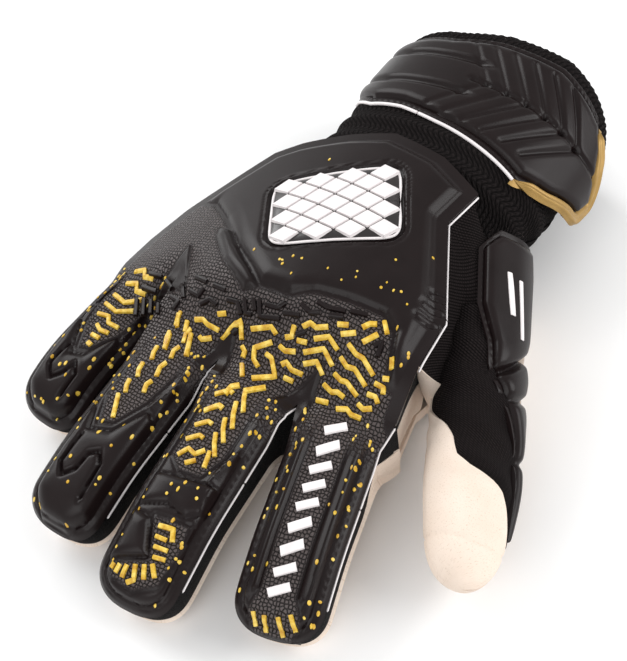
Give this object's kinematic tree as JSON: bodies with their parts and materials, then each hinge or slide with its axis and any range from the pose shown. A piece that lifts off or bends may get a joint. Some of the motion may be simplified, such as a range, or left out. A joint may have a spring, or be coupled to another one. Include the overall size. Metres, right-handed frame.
{
  "type": "goalkeeper glove",
  "caption": "Junior goalkeeper glove, right hand: padded back with raised chevrons, latex palm, jointed finger stalls, and a wrist strap that peels open.",
  "frame": {"origin": "on the flat heel of the palm, on the surface that the glove rests on, midway across the palm", "axes": "+Z out of the back of the hand, +Y to the wrist opening, -Y along the fingers, +X to the thumb"},
  "size_m": [0.1508, 0.2111, 0.0498],
  "materials": {
    "backhand_foam": "satin moulded polyurethane skin on foam, with raised chevrons painted gold",
    "palm_latex": "matte natural latex foam",
    "gusset_fabric": "brushed black gusset cloth",
    "thumb_mesh": "black twill mesh",
    "wrist_knit": "black ribbed elastic knit",
    "lining": "thin brushed lining",
    "badge_rubber": "white gloss-faced moulded rubber facets on black",
    "white_piping": "thin white edge binding",
    "gold_rubber": "satin gold moulded rubber",
    "hook_and_loop": "hook and loop patch"
  },
  "bodies": {
    "hand": {"backhand_pad": "backhand_foam", "knuckle_panel": "backhand_foam", "backhand_lining": "lining", "badge_plate": "badge_rubber", "palm_panel": "palm_latex", "little_side_gusset": "gusset_fabric", "index_side_gusset": "gusset_fabric", "thumb_web_mesh": "thumb_mesh", "thumb_palm_lobe": "palm_latex", "thumb_pad_base": "backhand_foam"},
    "index_proximal": {"index_back_proximal": "backhand_foam", "index_palm_proximal": "palm_latex", "index_gusset_outer_proximal": "gusset_fabric", "index_gusset_inner_proximal": "gusset_fabric"},
    "index_distal": {"index_back_distal": "backhand_foam", "index_palm_distal": "palm_latex", "index_gusset_outer_distal": "gusset_fabric", "index_gusset_inner_distal": "gusset_fabric"},
    "middle_proximal": {"middle_back_proximal": "backhand_foam", "middle_palm_proximal": "palm_latex", "middle_gusset_outer_proximal": "gusset_fabric", "middle_gusset_inner_proximal": "gusset_fabric"},
    "middle_distal": {"middle_back_distal": "backhand_foam", "middle_palm_distal": "palm_latex", "middle_gusset_outer_distal": "gusset_fabric", "middle_gusset_inner_distal": "gusset_fabric"},
    "ring_proximal": {"ring_back_proximal": "backhand_foam", "ring_palm_proximal": "palm_latex", "ring_gusset_outer_proximal": "gusset_fabric", "ring_gusset_inner_proximal": "gusset_fabric"},
    "ring_distal": {"ring_back_distal": "backhand_foam", "ring_palm_distal": "palm_latex", "ring_gusset_outer_distal": "gusset_fabric", "ring_gusset_inner_distal": "gusset_fabric"},
    "little_proximal": {"little_back_proximal": "backhand_foam", "little_palm_proximal": "palm_latex", "little_gusset_outer_proximal": "gusset_fabric", "little_gusset_inner_proximal": "gusset_fabric"},
    "little_distal": {"little_back_distal": "backhand_foam", "little_palm_distal": "palm_latex", "little_gusset_outer_distal": "gusset_fabric", "little_gusset_inner_distal": "gusset_fabric"},
    "thumb_middle": {"thumb_pad_middle": "backhand_foam", "thumb_mesh_middle": "thumb_mesh", "thumb_wrap_middle": "palm_latex"},
    "thumb_tip": {"thumb_pad_tip": "backhand_foam", "thumb_wrap_tip": "palm_latex"},
    "cuff": {"wrist_knit_upper": "wrist_knit", "wrist_knit_lower": "wrist_knit", "cuff_sleeve_upper": "wrist_knit", "cuff_sleeve_lower": "wrist_knit", "cuff_rim": "wrist_knit", "strap_anchor": "backhand_foam", "loop_patch": "hook_and_loop"},
    "strap_top": {"strap_top": "backhand_foam", "strap_piping": "white_piping"},
    "strap_tab": {"strap_tab": "backhand_foam", "strap_gold_edge": "gold_rubber", "hook_patch": "hook_and_loop"}
  },
  "joints": [
    {"name": "index_knuckle_bend", "type": "hinge", "parent": "hand", "child": "index_proximal", "pos_m": [0.03589, -0.05071, 0.02], "axis": [0.9711, 0.2385, 0], "range_deg": [-10, 60], "stiffness_Nm_per_rad": 0.05},
    {"name": "index_middle_bend", "type": "hinge", "parent": "index_proximal", "child": "index_distal", "pos_m": [0.04203, -0.07572, 0.01638], "axis": [0.9711, 0.2385, 0], "range_deg": [-8, 70], "stiffness_Nm_per_rad": 0.05},
    {"name": "middle_knuckle_bend", "type": "hinge", "parent": "hand", "child": "middle_proximal", "pos_m": [0.00709, -0.05599, 0.0215], "axis": [0.9988, 0.0488, 0], "range_deg": [-10, 60], "stiffness_Nm_per_rad": 0.05},
    {"name": "middle_middle_bend", "type": "hinge", "parent": "middle_proximal", "child": "middle_distal", "pos_m": [0.00849, -0.08467, 0.01746], "axis": [0.9988, 0.0488, 0], "range_deg": [-8, 70], "stiffness_Nm_per_rad": 0.05},
    {"name": "ring_knuckle_bend", "type": "hinge", "parent": "hand", "child": "ring_proximal", "pos_m": [-0.02152, -0.05199, 0.019], "axis": [0.9994, -0.0349, 0], "range_deg": [-10, 60], "stiffness_Nm_per_rad": 0.05},
    {"name": "ring_middle_bend", "type": "hinge", "parent": "ring_proximal", "child": "ring_distal", "pos_m": [-0.02246, -0.07877, 0.01571], "axis": [0.9994, -0.0349, 0], "range_deg": [-8, 70], "stiffness_Nm_per_rad": 0.05},
    {"name": "little_knuckle_bend", "type": "hinge", "parent": "hand", "child": "little_proximal", "pos_m": [-0.04775, -0.03393, 0.0155], "axis": [0.9945, -0.1045, 0], "range_deg": [-10, 60], "stiffness_Nm_per_rad": 0.05},
    {"name": "little_middle_bend", "type": "hinge", "parent": "little_proximal", "child": "little_distal", "pos_m": [-0.05005, -0.05576, 0.01397], "axis": [0.9945, -0.1045, 0], "range_deg": [-8, 70], "stiffness_Nm_per_rad": 0.05},
    {"name": "thumb_base_bend", "type": "hinge", "parent": "hand", "child": "thumb_middle", "pos_m": [0.05456, -0.00615, 0.02231], "axis": [0.6384, 0.4352, -0.6349], "range_deg": [-8, 12], "stiffness_Nm_per_rad": 0.1},
    {"name": "thumb_tip_bend", "type": "hinge", "parent": "thumb_middle", "child": "thumb_tip", "pos_m": [0.06703, -0.03083, 0.01793], "axis": [0.6661, 0.3804, -0.6416], "range_deg": [-5, 22], "stiffness_Nm_per_rad": 0.05},
    {"name": "wrist_bend", "type": "hinge", "parent": "hand", "child": "cuff", "pos_m": [0.007, 0.0435, 0.025], "axis": [1, 0, 0], "range_deg": [-20, 20], "stiffness_Nm_per_rad": 0.1},
    {"name": "strap_top_peel", "type": "hinge", "parent": "cuff", "child": "strap_top", "pos_m": [-0.02688, 0.0435, 0.03828], "axis": [0, -1, 0], "range_deg": [0, 60]},
    {"name": "strap_tab_peel", "type": "hinge", "parent": "strap_top", "child": "strap_tab", "pos_m": [0.03394, 0.0435, 0.04389], "axis": [0, -1, 0], "range_deg": [0, 90]}
  ]
}
